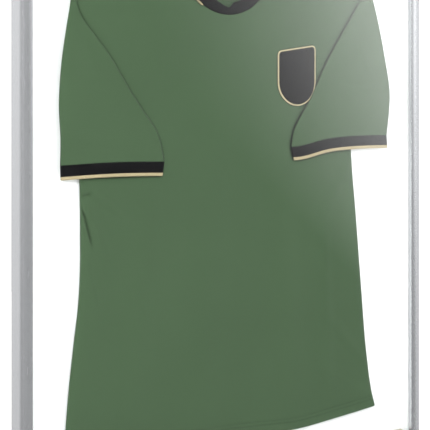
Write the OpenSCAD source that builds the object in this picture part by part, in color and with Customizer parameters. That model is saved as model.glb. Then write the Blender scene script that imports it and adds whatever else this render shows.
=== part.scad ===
// Wall-hung jersey display frame: a deep aluminium case that is loaded from the front.
// Four mitred cover rails snap shut over a clear acrylic sheet, and each one hinges
// outward on a round bead along the outer edge of its base rail.
// The origin is at the centre of the frame's base, -Y is the front and +Z is up.

/* [Frame] */
// Outside width of the frame
frame_w = 600; // [560:10:700]
// Outside height of the frame
frame_h = 800; // [780:10:900]
// Outside depth, from the wall to the front of the cover rails
frame_d = 35; // [34:1:40]
// Width of the front face of each rail
face_w = 15; // [15:0.5:17]
// Wall thickness of the base rails
wall_t = 1.8; // [1.6:0.1:2.2]
// Thickness of the acrylic sheet
sheet_t = 2; // [1.5:0.5:2.5]
// Thickness of the backing board
board_t = 3; // [2:0.5:3]
// Radius of the hinge bead on each base rail
bead_r = 2; // [1.8:0.05:2.1]

/* [Fittings] */
// Length of each arm of a corner key
key_arm = 45; // [35:1:60]
// Snap springs on each rail
springs_per_rail = 3; // [2:1:4]
// Distance between the two wall keyholes
keyhole_spacing = 400; // [300:10:440]
// Radius of the round part of each keyhole
keyhole_r = 4.5; // [4:0.25:5]
// Half the width of the slot of each keyhole
keyslot_r = 2.2; // [2:0.1:2.5]

/* [Jersey] */
// Width of the jersey across the chest
chest_w = 412; // [380:2:420]
// Width of the jersey at the hem
hem_w = 470; // [440:2:480]
// Height of the hem's lowest point above the frame's base
hem_z = 72; // [68:1:90]
// Height of the shoulders beside the neck
shoulder_z = 722; // [700:1:730]
// Thickness of one fabric panel with the air that it holds
panel_t = 3; // [2:0.5:3.5]

/* [Caption board] */
// Height of the black board along the foot of the display
caption_h = 40; // [30:1:48]

/* [Hidden] */
$fn = 64;

eps = 0.01;
gap = 0.3;                        // between bodies that move apart
mitre_gap = 0.15;                 // each cover rail stops this far short of its mitre

// Layers, as heights above the wall plane.
foot_t = 1.6;
key_web_t = 1.2;
key_channel_w = 10;               // inner side of the corner key channel
flange_back = 6;                  // back of the flange that carries the board
flange_front = flange_back + foot_t;
flange_w = 18;
board_front = flange_front + board_t;
sheet_front = frame_d - 7.5;
sheet_back = sheet_front - sheet_t;
ledge_w = 12;                     // the sheet's ledge reaches this far in
ledge_t = 1.6;
web_in = 7;                       // inner side of the web beside the sheet's edge
web_t = 1.4;

// Cover rail and its hinge.
dome_r = 30;                      // the cover's front is this gently domed
dome_w = face_w / 2;
ring_r = 3.2;                     // outside of the cover's wrap round the bead
bead_w = ring_r;
hinge_slack = 0.05;               // running clearance round the bead
wrap_from = 20;
wrap_to = 200;
dome_drop = dome_r - sqrt(dome_r * dome_r - pow(dome_w - bead_w, 2));
hinge_d = frame_d - dome_drop - ring_r;
cover_under = frame_d - 1.8;      // underside of the cover's face
lip_t = 1.6;
lip_back = sheet_front + gap;
rib_w = face_w - 5.8;             // the rib that the snap springs catch
rib_t = 1;
rib_back = cover_under - 2.2;
relief_l = 5.2;                   // notch that lets the next cover's wrap swing past
relief_d = hinge_d - ring_r - gap;
swing_a = bead_w + ring_r + gap;  // ends of the wrap stop here so that two open covers clear
swing_lip = face_w + 0.9;         // ends of the lip stop here
bead_neck_t = 1.3;
bead_neck_l = 3.7;
bead_neck_turn = -40;
mouth_r = 8;                      // reach of the cut that opens the wrap
web_top = sheet_t + 1.9;

// The sheet, board and spacers.
sheet_in = web_in + 0.7;
board_in = 12.4;
spacer_t = face_w - board_in;

// Snap spring: a bent leaf standing between the web and the sheet's edge.
spring_t = 0.4;
spring_l = 30;
knee_w = rib_w - gap - spring_t - 0.2;
knee_d = rib_back + 0.6;          // height of the knee that catches the rib
knee_from = rib_back - 1.2;
spring_tip_d = cover_under - 0.6;
spring_tip_w = web_in + 1;

// Corner keys.
key_slack = 0.1;
key_w = key_channel_w - wall_t - 2 * key_slack;
key_d = flange_back - foot_t - 2 * key_slack;
key_screw_at = [20, 37];          // distances of the set screws from the corner
key_screw_r = 2;
key_access_r = 2.4;

// Hanger plates.
plate_l = 34;
plate_t = 1.5;
plate_back = 0.8;
plate_in = 46;                    // reaches this far below the frame's top
plate_from = key_channel_w + key_web_t + 0.3;
plate_bend = flange_w + 1.2;      // where the plate steps back towards the wall
plate_step = 2.3;
plate_skew = 0.85;                // keeps the step as thick as the plate
plate_head_r = 2.8;
plate_head_t = 1.8;
keyhole_in = 38;
keyslot_in = 29;
plate_screw_in = 14.8;
plate_screw_r = 1.5;
plate_screw_spacing = 20;

// Jersey layers, as heights above the wall plane.
back_at = board_front + 0.4;
back_t = 1.4;
hanger_at = back_at + back_t + 0.2;
hanger_t = 2.6;
hanger_mid = hanger_at + hanger_t / 2;
front_at = hanger_at + hanger_t + 0.2;
sleeve_at = front_at + panel_t + 0.2;
sleeve_t = 2.4;
seam_slack = 0.05;                // between trims that lie edge to edge
piping_thin = 0.3;                // piping is this much thinner than the band beside it
badge_t = 0.8;

// Jersey outline. The body hangs a little to the left of the shoulders.
chest_z = 458;
chest_shift = -10;
waist_z = 330;
waist_w = chest_w + 10;
waist_shift = -5;
hem_shift = -2;
hem_rise = 24;                    // the hem's right corner is this much higher than its left
shoulder_half = 218;
shoulder_end_z = shoulder_z - 42;
neck_half = 74;
neck_x = -8;                      // the neck hangs a little to one side
neck_front_z = 636;
neck_r = 66;                      // outside of the collar's curve
collar_w = 16;
collar_notch = 10;                // height of the collar band at its front notch
collar_seam = 2;                  // the collar covers this much of the front panel
neck_back_z = shoulder_z - 26;
hanger_top_z = neck_back_z - 10;
shank_in = 12;                    // the hook's shank goes this far into the hanger
cuff_h = 14;
piping_h = 4;
// Each sleeve is [outer top, outer middle, cuff outside, cuff inside, seam middle].
sleeve_pts_left = [[-224, 660], [-250, 590], [-245, 434], [-103, 440], [-112, 490]];
sleeve_pts_right = [[222, 694], [262, 600], [251, 478], [91, 463], [103, 508]];
badge_at = [98.3, 559];
badge_w = 58;
badge_h = 78;
badge_edge = 3;
badge_back = front_at + panel_t + 0.05;

peg_z = 764;
peg_r = 3;
peg_head_r = 6;
hook_wire_r = 1.2;
hook_r = 8.5;
hook_z = peg_z - (hook_r - hook_wire_r - peg_r) + 0.05;   // the loop's centre, hung from the peg

caption_t = 2;
caption_edge_t = 2.4;
caption_edge_h = 1.6;
caption_half = frame_w / 2 - face_w - 0.2;

aluminium = [0.72, 0.73, 0.74];
steel = [0.6, 0.61, 0.63];
green = [0.29, 0.42, 0.28];
cream = [0.85, 0.78, 0.62];
black = [0.05, 0.05, 0.05];

// A point on a circle round a centre.
function on_circle(c, r, a) = [c[0] + r * cos(a), c[1] + r * sin(a)];
// A point on a quadratic curve from a to c that bends towards b.
function bend(a, b, c, t) = (1 - t) * (1 - t) * a + 2 * t * (1 - t) * b + t * t * c;
function bend_points(a, b, c, n) = [for (i = [0 : n]) bend(a, b, c, i / n)];
// A closed outline from half of one that starts and ends on the middle line.
function both_sides(half) = concat(half, [for (i = [len(half) - 2 : -1 : 1]) [-half[i][0], half[i][1]]]);
function rail_length(side) = (side == 0 || side == 2) ? frame_w : frame_h;
hinge_c = [bead_w, hinge_d];

// Rails are drawn along X with Y inward from the frame's edge and Z forward from the
// wall, and this sets one on its side of the frame.
module on_side(side) {
    if (side == 0) {
        translate([0, frame_d / 2, 0]) rotate([90, 0, 0]) children();
    }
    if (side == 1) {
        translate([frame_w / 2, frame_d / 2, frame_h / 2]) rotate([0, -90, 0]) rotate([90, 0, 0]) children();
    }
    if (side == 2) {
        translate([0, frame_d / 2, frame_h]) rotate([0, 180, 0]) rotate([90, 0, 0]) children();
    }
    if (side == 3) {
        translate([-frame_w / 2, frame_d / 2, frame_h / 2]) rotate([0, 90, 0]) rotate([90, 0, 0]) children();
    }
}

// Runs a profile drawn with X inward and Y forward along a rail.
module run(length) {
    rotate([90, 0, 90]) linear_extrude(length, center = true) children();
}

// Cuts a rail's ends at 45 degrees, with some space left at each mitre.
module mitred(length, space) {
    deep = flange_w + 2;
    half = length / 2 - space * sqrt(2);
    intersection() {
        children();
        translate([0, 0, -1]) linear_extrude(frame_d + 2)
            polygon([[-half - 1, -1], [half + 1, -1], [half - deep, deep], [-half + deep, deep]]);
    }
}

// Sets flat shapes, drawn in X and Z, at a height above the wall plane.
module flat_at(d, t) {
    translate([0, frame_d / 2 - d, 0]) rotate([90, 0, 0]) linear_extrude(t) children();
}

module base_profile() {
    difference() {
        square([wall_t, hinge_d]);
        translate(hinge_c) circle(ring_r + gap);
    }
    square([key_channel_w + key_web_t, foot_t]);
    translate([key_channel_w, 0]) square([key_web_t, flange_back + eps]);
    translate([0, flange_back]) square([flange_w, foot_t]);
    translate([0, sheet_back - ledge_t]) square([ledge_w, ledge_t]);
    translate([web_in - web_t, sheet_back - eps]) square([web_t, web_top]);
    translate(hinge_c) rotate(bead_neck_turn) translate([0, -bead_neck_t / 2])
        square([bead_neck_l, bead_neck_t]);
    translate(hinge_c) circle(bead_r);
}

module base_rail(side) {
    length = rail_length(side);
    color(aluminium) on_side(side) difference() {
        mitred(length, 0) run(length) base_profile();
        for (end = [-1, 1]) {
            translate([end * length / 2, wall_t / 2, relief_d + 5])
                cube([2 * relief_l, wall_t + 0.4, 10], center = true);
            translate([end * (length / 2 - key_screw_at[0]), wall_t + key_slack + key_w / 2, -1])
                cylinder(r = key_access_r, h = foot_t + 2);
            translate([end * (length / 2 - key_screw_at[1]), wall_t + key_slack + key_w / 2, -1])
                cylinder(r = key_access_r, h = foot_t + 2);
        }
        if (side == 2) {
            for (x = plate_screw_places()) {
                translate([x, plate_screw_in, flange_back - 1])
                    cylinder(r = plate_screw_r, h = foot_t + 2);
            }
        }
    }
}

// The domed face, the wrap round the bead, the lip over the sheet and the snap rib.
module cover_profile() {
    difference() {
        union() {
            intersection() {
                translate([dome_w, frame_d - dome_r]) circle(dome_r, $fn = 128);
                union() {
                    translate([bead_w, cover_under]) square([face_w - bead_w, frame_d - cover_under]);
                    translate([face_w - lip_t, lip_back]) square([lip_t, frame_d - lip_back]);
                }
            }
            translate([rib_w, rib_back]) square([rib_t, cover_under - rib_back + eps]);
            difference() {
                translate(hinge_c) circle(ring_r);
                // The mouth of the wrap, through which the bead's neck comes.
                translate(hinge_c) polygon([
                    [0, 0], on_circle([0, 0], mouth_r, wrap_to), [-mouth_r, -mouth_r],
                    [mouth_r, -mouth_r], on_circle([0, 0], mouth_r, wrap_from)
                ]);
            }
        }
        translate(hinge_c) circle(bead_r + hinge_slack);
    }
}

// What is cut from one end of a cover so that it swings clear of its neighbours,
// drawn with X inward from the end.
module swing_relief() {
    translate([-1, -1, relief_d]) cube([swing_a + 1, swing_a + 1, hinge_d - relief_d]);
    translate([-1, rib_w - 1, relief_d - 1]) cube([swing_lip + 1, face_w, cover_under - relief_d + 1]);
    translate([0, face_w, 0]) rotate([90, 0, 0]) linear_extrude(2 * face_w)
        polygon([
            [-1, hinge_d - eps], [bead_w + gap, hinge_d - eps], [0, hinge_d + bead_w + gap], [-1, frame_d]
        ]);
}

module cover_rail(side) {
    length = rail_length(side);
    color(aluminium) on_side(side) difference() {
        mitred(length, mitre_gap) run(length) cover_profile();
        translate([-length / 2, 0, 0]) swing_relief();
        mirror([1, 0, 0]) translate([-length / 2, 0, 0]) swing_relief();
    }
}

module spring_profile() {
    foot = [web_in, sheet_back];
    polygon([
        foot, foot + [spring_t, 0], [web_in + spring_t, knee_from],
        [knee_w + spring_t, knee_d], [spring_tip_w, spring_tip_d],
        [spring_tip_w - spring_t, spring_tip_d - gap], [knee_w, knee_d], [web_in, knee_from + spring_t]
    ]);
}

module snap_springs(side) {
    length = rail_length(side);
    pitch = length / springs_per_rail;
    color(steel) on_side(side) {
        for (i = [0 : springs_per_rail - 1]) {
            translate([(i - (springs_per_rail - 1) / 2) * pitch, 0, 0]) run(spring_l) spring_profile();
        }
    }
}

// Moves a shape drawn at the lower left corner, with both arms along +X and +Z.
module at_corner(corner) {
    flip_x = (corner == 1 || corner == 2) ? 1 : 0;
    flip_z = (corner == 2 || corner == 3) ? 1 : 0;
    translate([0, 0, flip_z * frame_h]) mirror([0, 0, flip_z]) mirror([flip_x, 0, 0])
        translate([-frame_w / 2, 0, 0]) children();
}

module key_screw_places() {
    centre = wall_t + key_slack + key_w / 2;
    for (a = key_screw_at) {
        translate([a, 0, centre]) children();
        translate([centre, 0, a]) children();
    }
}

module corner_key(corner) {
    start = wall_t + key_slack;
    color(steel) at_corner(corner) difference() {
        flat_at(foot_t + key_slack, key_d) union() {
            translate([start, start]) square([key_arm, key_w]);
            translate([start, start]) square([key_w, key_arm]);
        }
        key_screw_places() translate([0, frame_d / 2, 0]) rotate([90, 0, 0])
            cylinder(r = key_screw_r, h = 2 * flange_back, center = true);
    }
}

// Socket set screws that jam each key against the flange.
module corner_key_screws() {
    color([0.25, 0.25, 0.26]) for (corner = [0 : 3]) {
        at_corner(corner) key_screw_places()
            translate([0, frame_d / 2 - foot_t - key_slack, 0]) rotate([90, 0, 0]) difference() {
                cylinder(r = key_screw_r - 0.02, h = key_d + key_slack - eps);
                translate([0, 0, -1]) cylinder(r = 1, h = 2.6, $fn = 6);
            }
    }
}

module inner_rect(inset) {
    translate([-frame_w / 2 + inset, inset]) square([frame_w - 2 * inset, frame_h - 2 * inset]);
}

module acrylic_sheet() {
    color([0.85, 0.92, 0.95, 0.3]) flat_at(sheet_back, sheet_t) inner_rect(sheet_in);
}

module backing_board() {
    color([0.96, 0.96, 0.96]) difference() {
        flat_at(flange_front, board_t) inner_rect(board_in);
        translate([0, frame_d / 2, peg_z]) rotate([90, 0, 0]) cylinder(r = 1.5, h = board_front + 1);
    }
}

// White strips that hold the sheet off the board. The upright ones run full height.
module spacer(side) {
    upright = side == 1 || side == 3;
    length = rail_length(side) - 2 * (upright ? board_in : board_in + spacer_t);
    color([0.96, 0.96, 0.96]) on_side(side)
        translate([-length / 2, board_in, board_front])
            cube([length, spacer_t, sheet_back - board_front]);
}

function plate_screw_places() =
    [for (side = [-1, 1], s = [-1, 1]) side * keyhole_spacing / 2 + s * plate_screw_spacing / 2];

module plate_profile() {
    polygon([
        [plate_from, flange_back - plate_t], [plate_bend, flange_back - plate_t],
        [plate_bend + plate_step, plate_back], [plate_in, plate_back],
        [plate_in, plate_back + plate_t], [plate_bend + plate_step + plate_skew, plate_back + plate_t],
        [plate_bend + plate_skew, flange_back], [plate_from, flange_back]
    ]);
}

// A stepped steel plate under the top rail, with a keyhole for a wall screw.
module hanger_plate(hand) {
    color(steel) on_side(2) difference() {
        translate([-hand * keyhole_spacing / 2, 0, 0]) run(plate_l) plate_profile();
        translate([-hand * keyhole_spacing / 2, keyhole_in, -1]) cylinder(r = keyhole_r, h = 5);
        translate([-hand * keyhole_spacing / 2 - keyslot_r, keyslot_in, -1])
            cube([2 * keyslot_r, keyhole_in - keyslot_in, 5]);
        translate([-hand * keyhole_spacing / 2, keyslot_in, -1]) cylinder(r = keyslot_r, h = 5);
        for (x = plate_screw_places()) {
            translate([x, plate_screw_in, 0]) cylinder(r = plate_screw_r, h = flange_front);
        }
    }
}

module hanger_plate_screws() {
    color([0.8, 0.8, 0.82]) on_side(2) for (x = plate_screw_places()) {
        translate([x, plate_screw_in, 0]) difference() {
            union() {
                translate([0, 0, flange_back - plate_t - plate_head_t])
                    cylinder(r = plate_head_r, h = plate_head_t);
                translate([0, 0, flange_back - plate_t - eps])
                    cylinder(r = plate_screw_r - 0.02, h = plate_t + foot_t);
            }
            translate([0, 0, flange_back - plate_t - plate_head_t - 1]) cylinder(r = 1.1, h = 2, $fn = 6);
        }
    }
}

// The peg on the board from which the hanger hangs.
module hanger_peg() {
    color("white") translate([0, frame_d / 2, peg_z]) rotate([90, 0, 0]) {
        translate([0, 0, flange_front]) cylinder(r = 1.48, h = board_t + 1);
        translate([0, 0, board_front]) cylinder(r = peg_r, h = 9);
        translate([0, 0, board_front + 7]) cylinder(r1 = peg_r, r2 = peg_head_r, h = 2);
        translate([0, 0, board_front + 9]) cylinder(r = peg_head_r, h = 1.4);
    }
}

module hanger() {
    tip = [shoulder_half - 44, shoulder_end_z - 22];
    high = bend_points([0, hanger_top_z], [tip[0] * 0.5, hanger_top_z - 2], tip, 10);
    low = bend_points(tip - [4, 14], [tip[0] * 0.45, hanger_top_z - 24], [0, hanger_top_z - 26], 10);
    color([0.93, 0.93, 0.93]) difference() {
        flat_at(hanger_at, hanger_t) polygon(both_sides(concat(high, low)));
        translate([0, frame_d / 2 - hanger_mid, hanger_top_z - shank_in])
            cylinder(r = hook_wire_r, h = 2 * shank_in);
    }
}

// Wire hook: a straight shank in the hanger and most of a turn over the peg.
module hanger_hook() {
    shank_from = hanger_top_z - shank_in + eps;
    shank_to = hook_z - hook_r;
    loop_turn = 250;
    color([0.85, 0.85, 0.86]) translate([0, frame_d / 2 - hanger_mid, 0]) {
        translate([0, 0, shank_from]) cylinder(r = hook_wire_r - 0.02, h = shank_to - shank_from);
        translate([0, 0, shank_to]) sphere(hook_wire_r);
        translate([0, 0, hook_z]) rotate([90, 0, 0]) {
            rotate([0, 0, -90]) rotate_extrude(angle = loop_turn) translate([hook_r, 0]) circle(hook_wire_r);
            translate(concat(on_circle([0, 0], hook_r, loop_turn - 90), [0])) sphere(hook_wire_r);
        }
    }
}

// One side of the body from the shoulder down to the hem, on the left (-1) or right (1).
function body_side(hand, corner_z) = let(
    chest = [hand * chest_w / 2 + chest_shift, chest_z],
    waist = [hand * waist_w / 2 + waist_shift, waist_z],
    corner = [hand * hem_w / 2 + hem_shift, corner_z]
) concat(
    bend_points([hand * shoulder_half, shoulder_end_z], [chest[0] + hand * 4, chest_z + 90], chest, 6),
    bend_points(waist, [waist[0] + hand * 4, waist_z - 110], corner, 8)
);

module body_outline() {
    left = body_side(-1, hem_z);
    right = body_side(1, hem_z + hem_rise);
    hem = bend_points(left[len(left) - 1], [hem_w * 0.25, hem_z + 2], right[len(right) - 1], 12);
    polygon(concat(
        [[-neck_half, shoulder_z]], left,
        [for (i = [1 : len(hem) - 2]) hem[i]],
        [for (i = [len(right) - 1 : -1 : 0]) right[i]], [[neck_half, shoulder_z]]
    ));
}

module jersey_back() {
    back_neck_r = neck_r + 20;
    color(green * 0.8) flat_at(back_at, back_t) difference() {
        body_outline();
        translate([neck_x, neck_back_z + back_neck_r]) circle(back_neck_r);
    }
}

module jersey_front() {
    color(green) flat_at(front_at, panel_t) difference() {
        body_outline();
        translate([neck_x, neck_front_z + neck_r]) circle(neck_r - collar_seam);
    }
}

// A sleeve folded down over the front. Its lower edge is the cuff's upper edge.
module sleeve(pts) {
    color(green) flat_at(sleeve_at, sleeve_t) polygon(concat(
        bend_points(pts[0], pts[1], pts[2], 8),
        [for (i = [0 : 7]) bend(pts[3], pts[4], pts[0], i / 8)]
    ));
}

// A band of the given height hung below the sleeve, starting at a drop below it.
module cuff_band(pts, drop, high, t) {
    flat_at(sleeve_at, t) polygon([
        pts[2] - [0, drop], pts[3] - [0, drop], pts[3] - [0, drop + high], pts[2] - [0, drop + high]
    ]);
}

module cuff(pts) {
    color(black) cuff_band(pts, 0, cuff_h, sleeve_t);
}

module cuff_piping(pts) {
    color(cream) cuff_band(pts, cuff_h, piping_h, sleeve_t - piping_thin);
}

// The crew neck band, with a small notch at the front.
module collar() {
    high = neck_front_z + neck_r;
    inner_low = neck_r - collar_w;
    color(black) flat_at(sleeve_at, sleeve_t) translate([neck_x, high]) difference() {
        circle(neck_r);
        circle(inner_low);
        translate([-neck_r - 1, shoulder_z - high - 8]) square([2 * neck_r + 2, 2 * neck_r]);
        polygon([[0, collar_notch - neck_r], [12, -inner_low + 4], [-12, -inner_low + 4]]);
    }
}

// Piping round the outside of the collar's left side.
module collar_piping() {
    far = 2 * neck_r;
    color(cream) flat_at(sleeve_at, sleeve_t - piping_thin) translate([neck_x, neck_front_z + neck_r])
        difference() {
            circle(neck_r + 2);
            circle(neck_r + seam_slack);
            polygon([[0, 0], on_circle([0, 0], far, 180), [-far, far], [far, far], [far, -far],
                on_circle([0, 0], far, 235)]);
        }
}

// A plain shield: level top, straight sides and a round foot.
module shield(w, h) {
    r = w / 2;
    union() {
        translate([-w / 2, -h / 2 + r]) square([w, h - r]);
        translate([0, -h / 2 + r]) circle(r);
    }
}

module badge() {
    color(black) translate([badge_at[0], 0, badge_at[1]])
        flat_at(badge_back, badge_t)
            shield(badge_w - 2 * (badge_edge + seam_slack), badge_h - 2 * (badge_edge + seam_slack));
}

module badge_border() {
    color(cream) translate([badge_at[0], 0, badge_at[1]]) flat_at(badge_back, badge_t + 0.2) difference() {
        shield(badge_w, badge_h);
        shield(badge_w - 2 * badge_edge, badge_h - 2 * badge_edge);
    }
}

module caption_board() {
    color(black) flat_at(board_front, caption_t)
        translate([-caption_half, face_w]) square([2 * caption_half, caption_h]);
}

module caption_edge() {
    color([0.85, 0.76, 0.55]) flat_at(board_front, caption_edge_t)
        translate([-caption_half, face_w + caption_h]) square([2 * caption_half, caption_edge_h]);
}

base_rail(0);  // base_rail_bottom
base_rail(1);  // base_rail_right
base_rail(2);  // base_rail_top
base_rail(3);  // base_rail_left
cover_rail(0);  // cover_rail_bottom
cover_rail(1);  // cover_rail_right
cover_rail(2);  // cover_rail_top
cover_rail(3);  // cover_rail_left
snap_springs(0);  // snap_springs_bottom
snap_springs(1);  // snap_springs_right
snap_springs(2);  // snap_springs_top
snap_springs(3);  // snap_springs_left
corner_key(0);  // corner_key_lower_left
corner_key(1);  // corner_key_lower_right
corner_key(2);  // corner_key_upper_right
corner_key(3);  // corner_key_upper_left
corner_key_screws();
acrylic_sheet();
backing_board();
spacer(0);  // spacer_bottom
spacer(1);  // spacer_right
spacer(2);  // spacer_top
spacer(3);  // spacer_left
hanger_plate(-1);  // hanger_plate_left
hanger_plate(1);  // hanger_plate_right
hanger_plate_screws();
hanger_peg();
hanger();
hanger_hook();
jersey_back();
jersey_front();
sleeve(sleeve_pts_left);  // sleeve_left
sleeve(sleeve_pts_right);  // sleeve_right
cuff(sleeve_pts_left);  // cuff_left
cuff(sleeve_pts_right);  // cuff_right
cuff_piping(sleeve_pts_left);  // cuff_piping_left
cuff_piping(sleeve_pts_right);  // cuff_piping_right
collar();
collar_piping();
badge();
badge_border();
caption_board();
caption_edge();
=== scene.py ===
"""Looks for a wall-hung jersey display frame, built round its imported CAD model."""
import math

import bpy
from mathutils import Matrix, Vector, noise


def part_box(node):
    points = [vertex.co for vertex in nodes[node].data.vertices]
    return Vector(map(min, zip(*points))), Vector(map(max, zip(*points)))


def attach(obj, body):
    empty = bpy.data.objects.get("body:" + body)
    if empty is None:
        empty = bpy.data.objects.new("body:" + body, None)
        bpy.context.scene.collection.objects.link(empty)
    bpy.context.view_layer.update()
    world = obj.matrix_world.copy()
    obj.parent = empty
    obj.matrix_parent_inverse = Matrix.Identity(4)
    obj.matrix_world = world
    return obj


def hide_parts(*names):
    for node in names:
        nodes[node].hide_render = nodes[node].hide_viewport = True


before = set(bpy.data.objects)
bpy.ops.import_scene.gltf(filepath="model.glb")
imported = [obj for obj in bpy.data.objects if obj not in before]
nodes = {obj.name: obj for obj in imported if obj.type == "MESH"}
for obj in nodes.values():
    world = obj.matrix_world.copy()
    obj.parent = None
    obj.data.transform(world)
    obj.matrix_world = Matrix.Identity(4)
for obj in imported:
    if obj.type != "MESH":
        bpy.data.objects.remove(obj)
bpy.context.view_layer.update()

scene = bpy.context.scene

MM = 0.001
WAVE_TURN = math.tau / 20      # a wave texture repeats every tau / 20 of its scaled space
BOARD_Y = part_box("backing_board")[0][1]      # front of the backing board
FRONT_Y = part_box("cover_rail_left")[0][1]    # front of the rails

# Depths of the cloth layers in front of the backing board.
BACK_D = 2.0 * MM
SIDE_D = 3.6 * MM       # where the front and back panels meet
FRONT_D = 6.7 * MM
SLEEVE_D = 9.7 * MM     # the middle of a folded sleeve
SLEEVE_HALF = 1.6 * MM
CUFF_HALF = 2.0 * MM
CUFF_TUCK = 3.4 * MM
CUFF_DEPTH = 18.0 * MM  # the band and its piping together
COLLAR_D = 7.5 * MM
CLOTH_T = 0.6 * MM

# Neck opening of the jersey.
NECK = (-8.0 * MM, 702.0 * MM)
NECK_R = 66.0 * MM
COLLAR_W = 16.0 * MM
NECK_POINT_A = 17.5     # the collar's front ends this far above level, in degrees

# Outlines in X and Z, each from the top down.
BODY_LEFT = [(-0.2240, 0.668), (-0.2263, 0.648), (-0.2250, 0.630), (-0.2175, 0.600),
             (-0.2130, 0.520), (-0.2165, 0.440), (-0.2158, 0.376), (-0.2158, 0.310),
             (-0.2185, 0.262), (-0.2240, 0.218), (-0.2310, 0.158), (-0.2385, 0.071)]
BODY_RIGHT = [(0.2225, 0.6915), (0.2185, 0.660), (0.2090, 0.600), (0.196, 0.520),
              (0.1935, 0.458), (0.2015, 0.370), (0.2070, 0.309), (0.2130, 0.242),
              (0.2185, 0.184), (0.2265, 0.128), (0.2345, 0.0965)]
HEM = [BODY_LEFT[-1], (-0.160, 0.0725), (-0.080, 0.0750), (0.000, 0.0775), (0.060, 0.0770),
       (0.104, 0.0775), (0.167, 0.0860), BODY_RIGHT[-1]]
SLEEVES = {
    "left": {
        "outer": [(-0.2240, 0.672), (-0.2293, 0.652), (-0.2318, 0.632), (-0.2365, 0.605),
                  (-0.2430, 0.560), (-0.2460, 0.512), (-0.2440, 0.470), (-0.2445, 0.4365)],
        "inner": [(-0.2200, 0.668), (-0.2235, 0.646), (-0.2215, 0.632), (-0.2142, 0.617),
                  (-0.1970, 0.597), (-0.1780, 0.574), (-0.1510, 0.533),
                  (-0.1310, 0.505), (-0.1110, 0.477), (-0.1020, 0.4415)],
        "bow": 1.5 * MM, "dip": 0.0, "cuff": 14.0 * MM, "piping": 4.2 * MM},
    "right": {
        "outer": [(0.2225, 0.694), (0.2275, 0.670), (0.2380, 0.633), (0.2480, 0.589),
                  (0.2560, 0.547), (0.2555, 0.515), (0.2510, 0.4795)],
        "inner": [(0.2200, 0.684), (0.2060, 0.667), (0.1820, 0.631), (0.1540, 0.588),
                  (0.1328, 0.549), (0.1185, 0.524), (0.0970, 0.492), (0.0905, 0.4660)],
        "bow": 3.2 * MM, "dip": 5.0 * MM, "cuff": 14.0 * MM, "piping": 4.2 * MM},
}
BADGE_AT = (100.9 * MM, 557.4 * MM)
BADGE_SIZE = (60.5 * MM, 78.6 * MM)

# Camera, level and to the left of the frame.
CAMERA_AT = (-0.803, FRONT_Y - 1.384, 0.44)
CAMERA_TURN = 29.0
CAMERA_LENS = 102.1
CAMERA_SHIFT = -0.121


# ---------------------------------------------------------------- paths and meshes

def smoothstep(a, b, x):
    t = min(max((x - a) / (b - a), 0.0), 1.0)
    return t * t * (3 - 2 * t)


def quarter(x, reach):
    """A quarter round that rises from 0 at x = 0 to 1 at reach."""
    t = min(max(x / reach, 0.0), 1.0)
    return math.sqrt(1 - (1 - t) ** 2)


def spline(points, steps=12):
    """Points along a smooth curve through the given ones."""
    padded = [points[0]] + list(points) + [points[-1]]
    out = []
    for p0, p1, p2, p3 in zip(padded, padded[1:], padded[2:], padded[3:]):
        for i in range(steps):
            t = i / steps
            out.append(tuple(
                0.5 * (2 * b + (c - a) * t + (2 * a - 5 * b + 4 * c - d) * t * t
                       + (3 * b - a - 3 * c + d) * t ** 3)
                for a, b, c, d in zip(p0, p1, p2, p3)))
    return out + [tuple(points[-1])]


def along(points):
    """A function from 0 to 1 that follows the points by length."""
    total = [0.0]
    for a, b in zip(points, points[1:]):
        total.append(total[-1] + math.dist(a, b))

    def at(t):
        s = min(max(t, 0.0), 1.0) * total[-1]
        i = 0
        while i < len(points) - 2 and total[i + 1] < s:
            i += 1
        f = (s - total[i]) / max(total[i + 1] - total[i], 1e-12)
        return tuple(a + (b - a) * f for a, b in zip(points[i], points[i + 1]))
    return at


def on_circle(centre, r, degrees):
    a = math.radians(degrees)
    return (centre[0] + r * math.cos(a), centre[1] + r * math.sin(a))


def put(x, depth, z):
    """A point at a depth in front of the backing board."""
    return (x, BOARD_Y - depth, z)


def mesh_object(name, verts, faces):
    mesh = bpy.data.meshes.new(name)
    mesh.from_pydata(verts, [], faces)
    mesh.validate()
    mesh.update()
    obj = bpy.data.objects.new(name, mesh)
    scene.collection.objects.link(obj)
    mesh.polygons.foreach_set("use_smooth", [True] * len(mesh.polygons))
    return obj


def grid_faces(rows, cols, wrap=False):
    faces = []
    for r in range(rows - 1):
        for c in range(cols if wrap else cols - 1):
            a, b = r * cols + c, r * cols + (c + 1) % cols
            faces.append((a, b, b + cols, a + cols))
    return faces


def solidify(obj, thickness, offset=0.0):
    mod = obj.modifiers.new("thickness", "SOLIDIFY")
    mod.thickness = thickness
    mod.offset = offset
    mod.use_rim = True


def flat_area(points):
    """Area of a closed outline in X and Z."""
    return abs(sum(a[0] * b[1] - b[0] * a[1] for a, b in zip(points, points[1:] + points[:1]))) / 2


# ---------------------------------------------------------------- materials

def new_material(name):
    mat = bpy.data.materials.new(name)
    mat.use_nodes = True
    tree = mat.node_tree
    return mat, tree, tree.nodes["Principled BSDF"]


def add(tree, kind, **values):
    node = tree.nodes.new(kind)
    for key, value in values.items():
        setattr(node, key, value)
    return node


def coordinates(tree, scale=(1, 1, 1), turn=(0, 0, 0)):
    place = add(tree, "ShaderNodeTexCoord")
    mapping = add(tree, "ShaderNodeMapping")
    mapping.inputs["Scale"].default_value = scale
    mapping.inputs["Rotation"].default_value = [math.radians(a) for a in turn]
    tree.links.new(place.outputs["Object"], mapping.inputs["Vector"])
    return mapping.outputs["Vector"]


def noise_node(tree, vector, scale, detail=3.0, roughness=0.5):
    node = add(tree, "ShaderNodeTexNoise")
    node.inputs["Scale"].default_value = scale
    node.inputs["Detail"].default_value = detail
    node.inputs["Roughness"].default_value = roughness
    tree.links.new(vector, node.inputs["Vector"])
    return node.outputs["Fac"]


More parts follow.
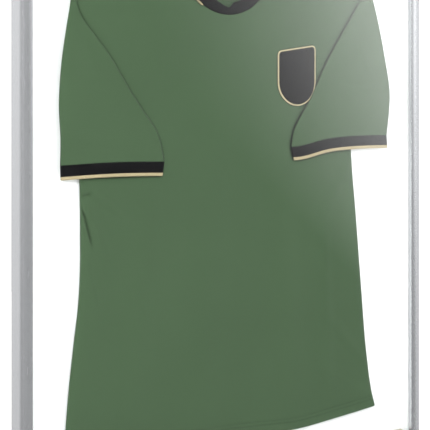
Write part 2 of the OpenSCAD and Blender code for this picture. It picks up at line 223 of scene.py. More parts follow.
def wave_node(tree, vector, scale, direction, distortion=0.0):
    node = add(tree, "ShaderNodeTexWave", bands_direction=direction)
    node.inputs["Scale"].default_value = scale
    node.inputs["Distortion"].default_value = distortion
    node.inputs["Detail"].default_value = 1.0
    tree.links.new(vector, node.inputs["Vector"])
    return node.outputs["Fac"]


def ramp(tree, fac, low, high, at=(0.0, 1.0)):
    """Colours from low to high by fac."""
    node = add(tree, "ShaderNodeValToRGB")
    for element, place, colour in zip(node.color_ramp.elements, at, (low, high)):
        element.position = place
        element.color = (*colour, 1.0)
    tree.links.new(fac, node.inputs["Fac"])
    return node.outputs["Color"]


def span(tree, fac, low, high):
    """fac from 0 to 1 as a number from low to high."""
    node = add(tree, "ShaderNodeMapRange")
    node.inputs["To Min"].default_value = low
    node.inputs["To Max"].default_value = high
    tree.links.new(fac, node.inputs["Value"])
    return node.outputs["Result"]


def maths(tree, operation, a, b):
    node = add(tree, "ShaderNodeMath", operation=operation)
    for socket, value in zip(node.inputs, (a, b)):
        if isinstance(value, (int, float)):
            socket.default_value = value
        else:
            tree.links.new(value, socket)
    return node.outputs["Value"]


def bump(tree, bsdf, height, distance, strength=1.0):
    node = add(tree, "ShaderNodeBump")
    node.inputs["Strength"].default_value = strength
    node.inputs["Distance"].default_value = distance
    tree.links.new(height, node.inputs["Height"])
    tree.links.new(node.outputs["Normal"], bsdf.inputs["Normal"])


def anodised(name, grain):
    """Satin anodised aluminium with fine grain along X or Z."""
    mat, tree, bsdf = new_material(name)
    fine, coarse = 3500, 60
    stretch = (coarse, fine, fine) if grain == "X" else (fine, fine, coarse)
    lines = noise_node(tree, coordinates(tree, stretch), 1.0, 2.0, 0.5)
    clouds = noise_node(tree, coordinates(tree), 9.0, 2.0)
    both = maths(tree, "ADD", maths(tree, "MULTIPLY", lines, 0.3), maths(tree, "MULTIPLY", clouds, 0.7))
    tint = ramp(tree, both, (0.510, 0.520, 0.535), (0.525, 0.535, 0.550), (0.3, 0.7))
    tree.links.new(tint, bsdf.inputs["Base Color"])
    tree.links.new(span(tree, lines, 0.262, 0.278), bsdf.inputs["Roughness"])
    bsdf.inputs["Metallic"].default_value = 0.75
    bump(tree, bsdf, lines, 0.000001, 0.05)
    return mat


def bright_metal(name, colour, rough, scale=600.0):
    mat, tree, bsdf = new_material(name)
    spots = noise_node(tree, coordinates(tree), scale, 4.0, 0.6)
    dark = [c * 0.82 for c in colour]
    tree.links.new(ramp(tree, spots, dark, colour, (0.3, 0.7)), bsdf.inputs["Base Color"])
    tree.links.new(span(tree, spots, rough * 0.75, rough * 1.3), bsdf.inputs["Roughness"])
    bsdf.inputs["Metallic"].default_value = 1.0
    bump(tree, bsdf, spots, 0.00003, 0.4)
    return mat


def plastic(name, colour, rough, grain=900.0, depth=0.00003):
    mat, tree, bsdf = new_material(name)
    spots = noise_node(tree, coordinates(tree), grain, 3.0, 0.6)
    clouds = noise_node(tree, coordinates(tree), 12.0, 2.0)
    both = maths(tree, "ADD", maths(tree, "MULTIPLY", spots, 0.5), maths(tree, "MULTIPLY", clouds, 0.5))
    dark = [c * 0.95 for c in colour]
    tree.links.new(ramp(tree, both, dark, colour, (0.3, 0.7)), bsdf.inputs["Base Color"])
    tree.links.new(span(tree, spots, rough * 0.9, min(rough * 1.15, 1.0)), bsdf.inputs["Roughness"])
    bump(tree, bsdf, spots, depth, 0.5)
    return mat


def knit(name, colour, wale=0.9, course=0.7, depth=0.00006, sheen=0.15, reach=3 * MM):
    """Fine knit, with painted shade in creases within reach: its colour darkens where other cloth lies near.
    wale and course size its stitches in mm.
    """
    mat, tree, bsdf = new_material(name)
    place = coordinates(tree)
    wales = wave_node(tree, place, WAVE_TURN / (wale * MM), "X", 0.3)
    courses = wave_node(tree, place, WAVE_TURN / (course * MM), "Z", 0.3)
    loops = maths(tree, "MULTIPLY", wales, courses)
    fuzz = noise_node(tree, place, 2600.0, 3.0, 0.7)
    clouds = noise_node(tree, place, 7.0, 4.0, 0.55)
    height = maths(tree, "ADD", loops, maths(tree, "MULTIPLY", fuzz, 0.35))
    uneven = maths(tree, "ADD", maths(tree, "MULTIPLY", fuzz, 0.25), maths(tree, "MULTIPLY", clouds, 0.4))
    # Painted shade and random tone: the colour is darker where the loops lie low, and varies with the fuzz
    # and clouds.
    shade = maths(tree, "ADD", maths(tree, "MULTIPLY", loops, 0.35), uneven)
    dark = [c * 0.86 for c in colour]
    light = [c * 1.12 for c in colour]
    # Painted shade: ambient occlusion within reach darkens the base colour in creases and beside the
    # sleeves' edges.
    creases = add(tree, "ShaderNodeAmbientOcclusion")
    creases.inputs["Distance"].default_value = reach
    creases.samples = 8
    tree.links.new(ramp(tree, shade, dark, light, (0.15, 0.75)), creases.inputs["Color"])
    crease_shaded_colour = add(tree, "ShaderNodeMixRGB", blend_type="MULTIPLY")
    crease_shaded_colour.inputs["Fac"].default_value = 1.0
    tree.links.new(creases.outputs["Color"], crease_shaded_colour.inputs["Color1"])
    painted_crease_shade = ramp(tree, creases.outputs["AO"], (0.25, 0.25, 0.25), (1, 1, 1), (0.35, 0.8))
    tree.links.new(painted_crease_shade, crease_shaded_colour.inputs["Color2"])
    tree.links.new(crease_shaded_colour.outputs["Color"], bsdf.inputs["Base Color"])
    tree.links.new(span(tree, fuzz, 0.68, 0.86), bsdf.inputs["Roughness"])
    bsdf.inputs["Sheen Weight"].default_value = sheen
    bsdf.inputs["Sheen Roughness"].default_value = 0.45
    bsdf.inputs["Specular IOR Level"].default_value = 0.3
    bump(tree, bsdf, height, depth, 0.6)
    return mat


def thread(name, colour, pitch=0.45, turn=0.0, depth=0.00018):
    """Rows of glossy embroidery thread, pitch apart in mm, turned by an angle."""
    mat, tree, bsdf = new_material(name)
    place = coordinates(tree, turn=(0, turn, 0))
    rows = wave_node(tree, place, WAVE_TURN / (pitch * MM), "Z", 0.6)
    fibres = noise_node(tree, place, 3200.0, 2.0, 0.6)
    height = maths(tree, "ADD", rows, maths(tree, "MULTIPLY", fibres, 0.3))
    dark = [c * 0.6 for c in colour]
    light = [c * 1.1 for c in colour]
    # Painted shade and random tone: the colour is darker where the thread lies low between its rows and
    # fibres.
    tree.links.new(ramp(tree, height, dark, light, (0.1, 0.9)), bsdf.inputs["Base Color"])
    tree.links.new(span(tree, fibres, 0.45, 0.65), bsdf.inputs["Roughness"])
    bsdf.inputs["Sheen Weight"].default_value = 0.03
    bsdf.inputs["Specular IOR Level"].default_value = 0.15
    bump(tree, bsdf, height, depth, 0.8)
    return mat


ACRYLIC_INDEX = 1.6


def acrylic(name):
    """A clear polished sheet: it passes light straight on and mirrors a little of it."""
    mat, tree, bsdf = new_material(name)
    tree.nodes.remove(bsdf)
    clear = add(tree, "ShaderNodeBsdfTransparent")
    clear.inputs["Color"].default_value = (0.985, 0.992, 0.99, 1.0)
    mirror = add(tree, "ShaderNodeBsdfGlossy")
    haze = noise_node(tree, coordinates(tree), 14.0, 3.0)
    tree.links.new(span(tree, haze, 0.0, 0.03), mirror.inputs["Roughness"])
    # A ray that leaves by the far face meets the same index as one that enters.
    face = add(tree, "ShaderNodeNewGeometry")
    share = add(tree, "ShaderNodeFresnel")
    swap = maths(tree, "MULTIPLY", face.outputs["Backfacing"], ACRYLIC_INDEX - 1 / ACRYLIC_INDEX)
    tree.links.new(maths(tree, "SUBTRACT", ACRYLIC_INDEX, swap), share.inputs["IOR"])
    mix = add(tree, "ShaderNodeMixShader")
    tree.links.new(share.outputs["Fac"], mix.inputs["Fac"])
    tree.links.new(clear.outputs["BSDF"], mix.inputs[1])
    tree.links.new(mirror.outputs["BSDF"], mix.inputs[2])
    tree.links.new(mix.outputs["Shader"], tree.nodes["Material Output"].inputs["Surface"])
    return mat


def make_materials():
    return {
        "rail_x": anodised("anodised_x", "X"),
        "rail_z": anodised("anodised_z", "Z"),
        "spring": bright_metal("spring_steel", (0.55, 0.56, 0.58), 0.25),
        "zinc": bright_metal("zinc_plate", (0.62, 0.64, 0.66), 0.36, 350.0),
        "wire": bright_metal("plated_wire", (0.80, 0.80, 0.82), 0.12),
        "acrylic": acrylic("clear_acrylic"),
        "board": plastic("white_board", (0.93, 0.93, 0.93), 0.7, 700.0, 0.00005),
        "spacer": plastic("white_strip", (0.92, 0.92, 0.92), 0.5),
        "hanger": plastic("white_hanger", (0.88, 0.88, 0.87), 0.35),
        "caption": plastic("caption_black", (0.012, 0.012, 0.013), 0.42),
        "gold": bright_metal("pale_gold", (0.80, 0.68, 0.43), 0.28),
        # The body's painted crease shade reaches further than the sleeves'.
        "green": knit("jersey_green", (0.053, 0.092, 0.046), reach=5.5 * MM),
        "green_sleeve": knit("jersey_green_sleeve", (0.053, 0.092, 0.046)),
        "green_inside": knit("jersey_green_inside", (0.047, 0.082, 0.041)),
        "rib": knit("jersey_black", (0.006, 0.0055, 0.0065), 0.8, 0.6, 0.00005, 0.02),
        "piping": thread("jersey_cream", (0.44, 0.36, 0.22), 0.8, 40.0),
        "badge": thread("badge_black", (0.006, 0.005, 0.006), 0.5, 0.0, 0.00006),
        "border": thread("badge_cream", (0.55, 0.46, 0.29), 0.7, 35.0),
        "stitch": thread("green_thread", (0.045, 0.080, 0.040), 0.3, 20.0),
    }


def paint(obj, material):
    obj.data.materials.clear()
    obj.data.materials.append(material)


# ---------------------------------------------------------------- jersey

# Folds and creases in the front: from, to, width and height.
FOLDS = [
    ((-0.2170, 0.3970), (-0.2030, 0.4020), 1.8 * MM, -2.6 * MM),
    ((-0.2165, 0.3900), (-0.2105, 0.3730), 1.4 * MM, -2.6 * MM),
    ((-0.2115, 0.3760), (-0.2010, 0.3370), 1.5 * MM, -2.4 * MM),
    ((-0.2100, 0.3900), (-0.1850, 0.3300), 6.0 * MM, 1.6 * MM),
    ((-0.2140, 0.4150), (-0.1500, 0.3700), 7.0 * MM, 1.5 * MM),
    ((-0.2150, 0.3300), (-0.1950, 0.2500), 6.0 * MM, 1.2 * MM),
    ((0.1900, 0.4400), (0.1450, 0.3700), 8.0 * MM, 1.4 * MM),
    ((0.2250, 0.1500), (0.1500, 0.2300), 7.0 * MM, 1.3 * MM),
    ((0.2300, 0.1250), (0.1300, 0.1600), 7.0 * MM, 1.3 * MM),
    ((-0.1200, 0.4200), (-0.1500, 0.1000), 18.0 * MM, 1.9 * MM),
    ((-0.0200, 0.5600), (-0.0450, 0.1100), 24.0 * MM, 1.6 * MM),
    ((0.0750, 0.4400), (0.0950, 0.1100), 18.0 * MM, 1.9 * MM),
    ((0.1450, 0.3800), (0.1550, 0.1200), 9.0 * MM, 1.3 * MM),
    ((-0.0600, 0.6300), (-0.1500, 0.5200), 16.0 * MM, 1.2 * MM),
    ((0.0450, 0.6300), (0.1100, 0.5600), 16.0 * MM, 0.5 * MM),
]
SLEEVE_FOLDS = [
    ((0.1600, 0.5530), (0.2450, 0.5420), 5.0 * MM, -0.45 * MM),
    ((0.2000, 0.6200), (0.2120, 0.5650), 6.0 * MM, -0.4 * MM),
    ((0.0925, 0.4950), (0.1000, 0.4780), 1.8 * MM, -1.3 * MM),
    ((0.1150, 0.5000), (0.1750, 0.4900), 7.0 * MM, -0.4 * MM),
    ((-0.2330, 0.5450), (-0.1650, 0.5500), 5.0 * MM, -0.45 * MM),
    ((-0.2150, 0.6000), (-0.2000, 0.5550), 7.0 * MM, -0.4 * MM),
    ((-0.2300, 0.4720), (-0.1500, 0.4640), 7.0 * MM, -0.4 * MM),
]


def fold_height(x, z, folds):
    """How far the cloth stands out at a point, from its folds and a slow unevenness."""
    total = 0.35 * MM * noise.noise(Vector((x * 11, 3.1, z * 4)))
    for a, b, width, height in folds:
        ax, az = b[0] - a[0], b[1] - a[1]
        t = ((x - a[0]) * ax + (z - a[1]) * az) / (ax * ax + az * az)
        if -0.2 < t < 1.2:
            off = abs((x - a[0]) * az - (z - a[1]) * ax) / math.hypot(ax, az)
            ends = smoothstep(-0.2, 0.25, t) * smoothstep(1.2, 0.75, t)
            total += height * ends * math.exp(-(off / width) ** 2)
    return total


def neckline(front):
    """The top edge of a body panel from the left shoulder over the neck to the right."""
    if front:
        r = NECK_R - 2 * MM
        arc = [on_circle(NECK, r, -180 + i * 180 / 48) for i in range(49)]
        high = NECK[1] + 19 * MM
        arc = [(NECK[0] - r - 1 * MM, high)] + arc + [(NECK[0] + r + 1 * MM, high)]
    else:
        low = NECK[1] - 1 * MM
        left, right = (on_circle(NECK, NECK_R - 2 * MM, a) for a in (180 - NECK_POINT_A, NECK_POINT_A))
        arc = spline([left, (NECK[0] - 0.036, low + 6 * MM), (NECK[0], low),
                      (NECK[0] + 0.036, low + 6 * MM), right])
    return spline([BODY_LEFT[0], (-0.145, 0.703), arc[0]], 8)[:-1] + arc + spline(
        [arc[-1], (0.135, 0.709), BODY_RIGHT[0]], 8)[1:]


def body_panel(name, front):
    """One panel of the body: a patch between the neckline, the sides and the hem."""
    cols, rows, hem_rows = 210, 190, 26
    top_points = neckline(front)
    top, hem = along(top_points), along(spline(HEM))
    left, right = along(spline(BODY_LEFT)), along(spline(BODY_RIGHT))
    fine_from = 0.955
    vs = [fine_from * i / rows for i in range(rows)]
    vs += [fine_from + (1 - fine_from) * i / hem_rows for i in range(hem_rows + 1)]
    corner = (top(0), top(1), hem(0), hem(1))
    verts = []
    for v in vs:
        lx, rx = left(v), right(v)
        for c in range(cols):
            u = c / (cols - 1)
            u -= 0.6 * math.sin(math.tau * u) / math.tau      # closer columns near the sides
            t, h = top(u), hem(u)
            x, z = ((1 - v) * t[k] + v * h[k] + (1 - u) * lx[k] + u * rx[k]
                    - (1 - v) * ((1 - u) * corner[0][k] + u * corner[1][k])
                    - v * ((1 - u) * corner[2][k] + u * corner[3][k]) for k in (0, 1))
            side = min(math.dist((x, z), lx), math.dist((x, z), rx))
            roll = quarter(side, 11 * MM)
            down = t[1] - z
            over = quarter(down, 9 * MM)
            away = abs(x - NECK[0])
            shoulder = smoothstep(0.058, 0.070, away)
            roll *= 1 - shoulder * (1 - over)
            hem_up = (1 - v) * (t[1] - h[1])
            if front:
                d = SIDE_D + (FRONT_D - SIDE_D) * roll + fold_height(x, z, FOLDS) * roll
                d += hem_relief(hem_up)
            else:
                d = SIDE_D + (BACK_D - SIDE_D) * roll + 0.25 * MM * noise.noise(Vector((x * 9, 8.0, z * 5)))
                d -= 0.5 * hem_relief(hem_up)
            verts.append(put(x, d, z))
    obj = mesh_object(name, verts, grid_faces(len(vs), cols))
    solidify(obj, CLOTH_T)
    down_right = [right(i / 20) for i in range(1, 20)]
    up_left = [left(1 - i / 20) for i in range(1, 20)]
    outline = top_points + down_right + spline(HEM)[::-1] + up_left
    return obj, flat_area(outline)


HEM_H = 16 * MM
HEM_ROWS = (HEM_H, HEM_H - 5 * MM)


def hem_relief(up):
    """The doubled hem stands proud, with a dip at each row of stitches."""
    proud = 0.45 * MM * (1 - smoothstep(HEM_H + 0.5 * MM, HEM_H + 2.5 * MM, up))
    dips = sum(math.exp(-((up - row) / (0.9 * MM)) ** 2) for row in HEM_ROWS)
    return proud - 0.35 * MM * dips


def stitches(name, line, pitch, length, radius):
    """Short threads laid along a line of points."""
    at = along(line)
    total = sum(math.dist(a, b) for a, b in zip(line, line[1:]))
    count = int(total / pitch)
    verts, faces = [], []
    for i in range(count):
        mid = (i + 0.5) / count
        ends = [Vector(at(mid + k * length / total / 2)) for k in (-1, -0.5, 0.5, 1)]
        lift = (0.0, radius * 0.9, radius * 0.9, 0.0)
        way = (ends[-1] - ends[0]).normalized()
        side = way.cross(Vector((0, 1, 0))).normalized()
        base = len(verts)
        for p, up in zip(ends, lift):
            for k in range(6):
                a = math.tau * k / 6
                r = radius * (1.0 if up else 0.5)
                out = Vector((0, -1, 0)) * (r * math.sin(a) * 0.8 + up)
                verts.append(tuple(p + side * (r * math.cos(a)) + out))
        for ring in range(3):
            for k in range(6):
                a, b = base + ring * 6 + k, base + ring * 6 + (k + 1) % 6
                faces.append((a, b, b + 6, a + 6))
        faces.append(tuple(base + k for k in reversed(range(6))))
        faces.append(tuple(base + 18 + k for k in range(6)))
    return mesh_object(name, verts, faces)


def flat_tube(name, rows, front_cols=90, back_cols=36, ribs=0, rib_h=0.0, folds=None):
    """A flattened tube of cloth. Each row is (outer, inner, bow, dip, middle depth, half depth)."""
    verts = []
    for outer, inner, bow, dip, middle, half in rows:
        for c in range(front_cols + back_cols):
            ahead = c < front_cols
            s = c / front_cols if ahead else 1 - (c - front_cols) / back_cols
            x = outer[0] + (inner[0] - outer[0]) * s
            z = outer[1] + (inner[1] - outer[1]) * s + bow * math.sin(math.pi * s)
            z -= dip * math.exp(-((s - 0.92) / 0.2) ** 2)
            full = max(1 - abs(2 * s - 1) ** 7, 0.0) ** 0.5
            d = half * full * (1 if ahead else -1)
            if ahead and folds:
                d += full * fold_height(x, z, folds)
            if ribs:
                d += rib_h * full * math.cos(math.tau * ribs * s) * (1 if ahead else -1)
            verts.append(put(x, middle + d, z))
    obj = mesh_object(name, verts, grid_faces(len(rows), front_cols + back_cols, wrap=True))
    solidify(obj, CLOTH_T)
    return obj


def sleeve_rows(spec, count):
    outer, inner = along(spline(spec["outer"])), along(spline(spec["inner"]))
    rows = []
    for i in range(count + 1):
        v = i / count
        half = SLEEVE_HALF * (0.45 + 0.55 * smoothstep(0, 0.25, v))
        middle = SLEEVE_D - 2.6 * MM * (1 - smoothstep(0.0, 0.16, v))
        low = smoothstep(0.6, 1, v)
        rows.append((outer(v), inner(v), spec["bow"] * low, spec["dip"] * low, middle, half))
    return rows


def band_rows(spec, start, high, half, steps):
    """Rows of a cuff band below the sleeve's lower edge. Its inner end slants in by CUFF_TUCK."""
    outer, inner = Vector(spec["outer"][-1]), Vector(spec["inner"][-1])
    down = Vector((inner.y - outer.y, outer.x - inner.x)).normalized()
    down *= -1 if down.y > 0 else 1
    rows = []
    for i in range(steps + 1):
        t = i / steps
        drop = start + high * t
        edge = half * (1 - 0.35 * (2 * t - 1) ** 6)
        tuck = Vector((math.copysign(CUFF_TUCK, inner.x - outer.x) * drop / CUFF_DEPTH, 0))
        rows.append((tuple(outer + down * drop), tuple(inner + down * drop - tuck), spec["bow"], spec["dip"],
                     SLEEVE_D, edge))
    return rows


def make_sleeve(side, materials):
    spec = SLEEVES[side]
    outer, inner = spec["outer"], spec["inner"]
    sleeve = flat_tube(f"sleeve_cloth_{side}", sleeve_rows(spec, 120), 120, folds=SLEEVE_FOLDS)
    paint(sleeve, materials["green_sleeve"])
    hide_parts(f"sleeve_{side}")
    width = math.dist(outer[-1], inner[-1])
    ribs = int(width / (1.5 * MM))
    cuff = flat_tube(f"cuff_rib_{side}", band_rows(spec, -0.4 * MM, spec["cuff"] + 0.4 * MM, CUFF_HALF, 10),
                     ribs * 4, ribs * 2, ribs, 0.12 * MM)
    paint(cuff, materials["rib"])
    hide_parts(f"cuff_{side}")
    edge_rows = band_rows(spec, spec["cuff"] - 0.2 * MM, spec["piping"], CUFF_HALF * 0.86, 8)
    edge = flat_tube(f"cuff_edge_{side}", edge_rows, 200, 80)
    paint(edge, materials["piping"])
    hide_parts(f"cuff_piping_{side}")
    for piece in (sleeve, cuff, edge):
        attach(piece, "case")


def notch(x):
    """How far the collar's inner edge dips near its front overlap."""
    off = x - (NECK[0] + 3 * MM)
    reach = 20 * MM if off < 0 else 7 * MM
    return 6.5 * MM * max(1 - abs(off) / reach, 0.0)


def collar_band(name, edges, depth_at, count, across=14, ribs=0):
    """A crowned band between two edge curves, with ribs across it."""
    verts = []
    for i in range(count + 1):
        t = i / count
        low, high = edges(t)
        for k in range(across + 1):
            w = k / across
            crown = 0.9 * MM * max(1 - abs(2 * w - 1) ** 5, 0.0) ** 0.5
            rib = 0.10 * MM * math.cos(math.tau * ribs * t) if ribs else 0.0
            x, z = (low[j] + (high[j] - low[j]) * w for j in (0, 1))
            verts.append(put(x, depth_at(t) + crown + rib, z))
    obj = mesh_object(name, verts, grid_faces(count + 1, across + 1))
    solidify(obj, 1.1 * MM, 1.0)
    return obj


def make_collar(materials):
    spread = 180 + 2 * NECK_POINT_A
    length = math.radians(spread) * NECK_R
    ribs = int(length / (1.6 * MM))

    def front_edges(t):
        a = -180 - NECK_POINT_A + spread * t
        low = on_circle(NECK, NECK_R, a)
        inner = on_circle(NECK, NECK_R - COLLAR_W, a)
        return low, on_circle(NECK, NECK_R - COLLAR_W + notch(inner[0]) * (inner[1] < NECK[1]), a)

    def front_depth(t):
        ends = smoothstep(0.0, 0.09, t) * smoothstep(1.0, 0.91, t)
        return SIDE_D + (COLLAR_D - SIDE_D) * ends

    ends = [on_circle(NECK, NECK_R, a) for a in (180 - NECK_POINT_A, NECK_POINT_A)]
    tops = [on_circle(NECK, NECK_R - COLLAR_W, a) for a in (180 - NECK_POINT_A, NECK_POINT_A)]
    low_line = along(spline([ends[0], (NECK[0] - 0.036, NECK[1] + 4 * MM), (NECK[0], NECK[1] - 2 * MM),
                             (NECK[0] + 0.036, NECK[1] + 4 * MM), ends[1]]))
    top_line = along(spline([tops[0], (NECK[0] - 0.026, NECK[1] + 15 * MM), (NECK[0], NECK[1] + 14 * MM),
                             (NECK[0] + 0.026, NECK[1] + 15 * MM), tops[1]]))

    def back_depth(t):
        middle = smoothstep(0.0, 0.2, t) * smoothstep(1.0, 0.8, t)
        return SIDE_D + (BACK_D + 0.6 * MM - SIDE_D) * middle

    collar = collar_band("collar_rib", front_edges, front_depth, ribs * 4, ribs=ribs)
    paint(collar, materials["rib"])
    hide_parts("collar")
    back_ribs = int(ribs * 0.5)
    behind = collar_band("collar_rib_back", lambda t: (low_line(t), top_line(t)), back_depth, back_ribs * 4,
                         ribs=back_ribs)
    paint(behind, materials["rib"])
    line = []
    first, last = -180 - NECK_POINT_A, -123
    for i in range(101):
        a = first + (last - first) * i / 100
        t = (a - first) / spread
        x, z = on_circle(NECK, NECK_R + 0.9 * MM, a)
        line.append(put(x, front_depth(t) + 0.7 * MM, z))
    piping = cord_mesh("collar_edge", line, 1.25 * MM, 10)
    paint(piping, materials["piping"])
    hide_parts("collar_piping")
    for piece in (collar, behind, piping):
        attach(piece, "case")
    return collar, behind, piping


def cord_mesh(name, line, radius, sides, closed=False, twist=0.0, pitch=0.0):
    """A tube along points, with raised turns of thread when twist is given."""
    verts = []
    count = len(line)
    run = 0.0
    for i, p in enumerate(line):
        before = Vector(line[i - 1] if (i or closed) else line[i])
        after = Vector(line[(i + 1) % count] if (i < count - 1 or closed) else line[i])
        if i:
            run += (Vector(p) - Vector(line[i - 1])).length
        way = (after - before).normalized()
        out = Vector((0, -1, 0))
        side = way.cross(out).normalized()
        taper = 1.0 if closed else min(1.0, (min(i, count - 1 - i) + 0.4) / 3)
        for k in range(sides):
            a = math.tau * k / sides
            r = radius * taper
            if pitch:
                r *= 1 + twist * math.cos(math.tau * run / pitch - a)
            verts.append(tuple(Vector(p) + side * (r * math.cos(a)) + out * (r * math.sin(a))))
    faces = grid_faces(count, sides, wrap=True)
    last = (count - 1) * sides
    if closed:
        faces += [(last + k, last + (k + 1) % sides, (k + 1) % sides, k) for k in range(sides)]
    else:
        faces += [tuple(reversed(range(sides))), tuple(last + k for k in range(sides))]
    return mesh_object(name, verts, faces)


def shield_line(count, inset=0.0):
    """Points round the badge: a nearly level top, small corners and a round foot."""
    w, h = BADGE_SIZE[0] / 2 - inset, BADGE_SIZE[1] / 2 - inset
    r = 5 * MM
    tilt = math.tan(math.radians(10))
    outline = [on_circle((w - r, h - r), r, a) for a in range(0, 91, 15)]
    outline += [on_circle((-w + r, h - r), r, a) for a in range(90, 181, 15)]
    foot = h - w * 0.92
    outline += [(w * math.cos(math.radians(a)), -foot * 0.55 + (h - foot * 0.55) * math.sin(math.radians(a)))
                for a in range(180, 361, 6)]
    outline = [(x, z + x * tilt * smoothstep(-h, h, z)) for x, z in outline]
    at = along(outline + outline[:1])
    return [(BADGE_AT[0] + p[0], BADGE_AT[1] + p[1]) for p in (at(i / count) for i in range(count))]


def make_badge(materials):
    count, rings = 240, 24
    edge = shield_line(count, 1.6 * MM)
    lift = FRONT_D + 1.0 * MM
    verts, faces = [], []
    for k in range(rings):
        s = 1 - k / rings
        for x, z in edge:
            px, pz = BADGE_AT[0] + (x - BADGE_AT[0]) * s, BADGE_AT[1] + (z - BADGE_AT[1]) * s
            crown = 0.5 * MM * (1 - s ** 6)
            verts.append(put(px, lift + crown, pz))
    verts.append(put(BADGE_AT[0], lift + 0.5 * MM, BADGE_AT[1]))
    faces = grid_faces(rings, count, wrap=True)
    last = (rings - 1) * count
    faces += [(last + k, last + (k + 1) % count, len(verts) - 1) for k in range(count)]
    patch = mesh_object("badge_patch", verts, faces)
    solidify(patch, 0.8 * MM, 1.0)
    paint(patch, materials["badge"])
    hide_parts("badge")
    line = [put(x, lift, z) for x, z in shield_line(1100, 0.9 * MM)]
    border = cord_mesh("badge_edge", line, 1.15 * MM, 10, closed=True, twist=0.09, pitch=1.0 * MM)
    paint(border, materials["border"])
    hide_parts("badge_border")
    for piece in (patch, border):
        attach(piece, "case")
    return patch, border


def make_jersey(materials):
    front, front_area = body_panel("body_cloth_front", True)
    back, back_area = body_panel("body_cloth_back", False)
    hem = along(spline(HEM))
    rows = []
    for n, up in enumerate(HEM_ROWS):
        line = []
        for i in range(241):
            x, z = hem(0.02 + 0.96 * i / 240)
            line.append(put(x, FRONT_D + 0.45 * MM + fold_height(x, z + up, FOLDS), z + up))
        rows.append(stitches(f"hem_stitches_{n + 1}", line, 2.9 * MM, 2.2 * MM, 0.22 * MM))
    collar, behind, piping = make_collar(materials)
    patch, border = make_badge(materials)
    for piece in rows:
        paint(piece, materials["stitch"])
        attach(piece, "case")
    for piece, node, material in ((front, "jersey_front", "green"), (back, "jersey_back", "green_inside")):
        paint(piece, materials[material])
        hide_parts(node)
        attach(piece, "case")
    for side in SLEEVES:
        make_sleeve(side, materials)


# ---------------------------------------------------------------- frame, stage and light

def finish_cad(materials):
    """Materials for the CAD nodes, by the start of their names."""
    table = {
        "snap_springs": "spring", "corner_key": "zinc", "hanger_plate": "zinc", "acrylic": "acrylic",
        "backing": "board", "spacer": "spacer", "hanger_peg": "hanger", "hanger_hook": "wire",
        "hanger": "hanger", "caption_board": "caption", "caption_edge": "gold",
    }
    for name, obj in nodes.items():
        if "rail_" in name:
            paint(obj, materials["rail_z" if name.endswith(("left", "right")) else "rail_x"])
            continue
        for start in sorted(table, key=len, reverse=True):
            if name.startswith(start):
                paint(obj, materials[table[start]])
                break


def make_camera():
    data = bpy.data.cameras.new("camera")
    data.lens = CAMERA_LENS
    data.sensor_width = 36.0
    data.shift_y = CAMERA_SHIFT
    data.clip_start = 0.01
    camera = bpy.data.objects.new("camera", data)
    camera.location = CAMERA_AT
    camera.rotation_euler = (math.radians(90), 0, math.radians(-CAMERA_TURN))
    scene.collection.objects.link(camera)
    scene.camera = camera


def make_floor():
    size = 2.6
    floor = mesh_object("floor", [(-size, -size, -1 * MM), (size, -size, -1 * MM),
                                  (size, size, -1 * MM), (-size, size, -1 * MM)], [(0, 1, 2, 3)])
    paint(floor, plastic("floor_white", (0.9, 0.9, 0.9), 0.8, 60.0))
    floor.visible_glossy = False


def make_glare_card():
    """A card that only mirrors see: the acrylic's soft sheen, brightest at its upper right."""
    y = CAMERA_AT[1]
    middle, half = (0.66, 0.30), (0.80, 0.88)
    low, high = ((middle[0] + k * half[0], middle[1] + k * half[1]) for k in (-1, 1))
    card = mesh_object("glare_card", [(low[0], y, low[1]), (high[0], y, low[1]), (high[0], y, high[1]),
                                      (low[0], y, high[1])], [(0, 3, 2, 1)])
    mat, tree, bsdf = new_material("card_light")
    tree.nodes.remove(bsdf)
    place = add(tree, "ShaderNodeTexCoord")
    parts = add(tree, "ShaderNodeSeparateXYZ")
    tree.links.new(place.outputs["Object"], parts.inputs["Vector"])
    across = maths(tree, "MULTIPLY", parts.outputs["X"], 2.2)
    upward = maths(tree, "MULTIPLY", parts.outputs["Z"], 2.4)
    level = maths(tree, "SUBTRACT", maths(tree, "ADD", across, upward), 2.9)
    rise = maths(tree, "MULTIPLY", maths(tree, "SUBTRACT", parts.outputs["X"], 0.55), 2.4)
    curve = maths(tree, "MULTIPLY", maths(tree, "MAXIMUM", level, 0.0), maths(tree, "MAXIMUM", rise, 0.0))
    glow = add(tree, "ShaderNodeEmission")
    tree.links.new(curve, glow.inputs["Strength"])
    # The card fades out over its outer border.
    inside = []
    for axis, centre, reach in (("X", middle[0], half[0]), ("Z", middle[1], half[1])):
        off = maths(tree, "ABSOLUTE", maths(tree, "SUBTRACT", parts.outputs[axis], centre), 0.0)
        inside.append(maths(tree, "MULTIPLY", maths(tree, "SUBTRACT", reach, off), 7.0))
    fade = add(tree, "ShaderNodeMapRange", interpolation_type="SMOOTHSTEP")
    tree.links.new(maths(tree, "MINIMUM", *inside), fade.inputs["Value"])
    clear = add(tree, "ShaderNodeBsdfTransparent")
    mix = add(tree, "ShaderNodeMixShader")
    tree.links.new(fade.outputs["Result"], mix.inputs["Fac"])
    tree.links.new(clear.outputs["BSDF"], mix.inputs[1])
    tree.links.new(glow.outputs["Emission"], mix.inputs[2])
    tree.links.new(mix.outputs["Shader"], tree.nodes["Material Output"].inputs["Surface"])
    paint(card, mat)
    card.visible_camera = False
    card.visible_diffuse = False
    card.visible_shadow = False


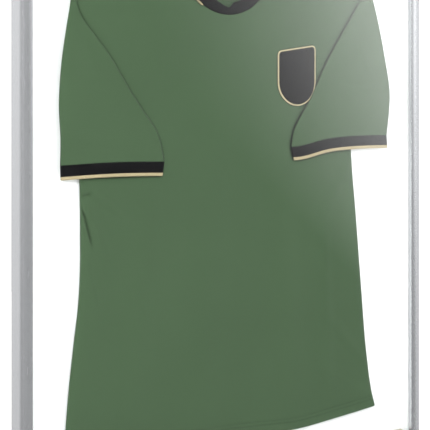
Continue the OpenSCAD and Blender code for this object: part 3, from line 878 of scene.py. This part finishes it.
def make_lights():
    def area(name, place, size, power, mirrored=False):
        data = bpy.data.lights.new(name, "AREA")
        data.shape = "RECTANGLE"
        data.size, data.size_y = size
        data.energy = power
        lamp = bpy.data.objects.new(name, data)
        lamp.location = place
        lamp.rotation_euler = (Vector((0, 0, 0.4)) - Vector(place)).to_track_quat("-Z", "Y").to_euler()
        lamp.visible_glossy = mirrored
        scene.collection.objects.link(lamp)
    area("key", (-1.5, -2.2, 1.3), (1.1, 1.1), 72)
    area("fill", (1.6, -2.3, 0.5), (2.2, 1.6), 36)
    area("left_strip", (-2.2, -1.0, 0.7), (0.4, 2.2), 15)
    area("right_strip", (1.95, -1.5, 0.7), (0.9, 2.2), 0.4, mirrored=True)
    area("back", (0.5, 2.2, 1.8), (2.0, 2.0), 14)


def make_world():
    """A soft studio: white to the camera, and brighter above, behind and to the right."""
    world = bpy.data.worlds.new("studio")
    world.use_nodes = True
    tree = world.node_tree
    base = tree.nodes["Background"]
    place = add(tree, "ShaderNodeTexCoord")
    parts = add(tree, "ShaderNodeSeparateXYZ")
    tree.links.new(place.outputs["Generated"], parts.inputs["Vector"])
    high = maths(tree, "MULTIPLY", parts.outputs["Z"], 0.9)
    back = maths(tree, "MULTIPLY", parts.outputs["Y"], 0.38)
    right = maths(tree, "MULTIPLY", parts.outputs["X"], 0.38)
    level = maths(tree, "ADD", maths(tree, "ADD", high, back), maths(tree, "ADD", right, 0.71))
    tree.links.new(maths(tree, "MAXIMUM", level, 0.05), base.inputs["Strength"])
    base.inputs["Color"].default_value = (1.0, 1.0, 1.0, 1.0)
    white = add(tree, "ShaderNodeBackground")
    white.inputs["Color"].default_value = (1.0, 1.0, 1.0, 1.0)
    white.inputs["Strength"].default_value = 1.1
    rays = add(tree, "ShaderNodeLightPath")
    mix = add(tree, "ShaderNodeMixShader")
    tree.links.new(rays.outputs["Is Camera Ray"], mix.inputs["Fac"])
    tree.links.new(base.outputs["Background"], mix.inputs[1])
    tree.links.new(white.outputs["Background"], mix.inputs[2])
    tree.links.new(mix.outputs["Shader"], tree.nodes["World Output"].inputs["Surface"])
    scene.world = world


make_camera()
make_floor()
make_glare_card()
make_lights()
make_world()
scene.view_settings.view_transform = "Standard"
MATERIALS = make_materials()
finish_cad(MATERIALS)
make_jersey(MATERIALS)
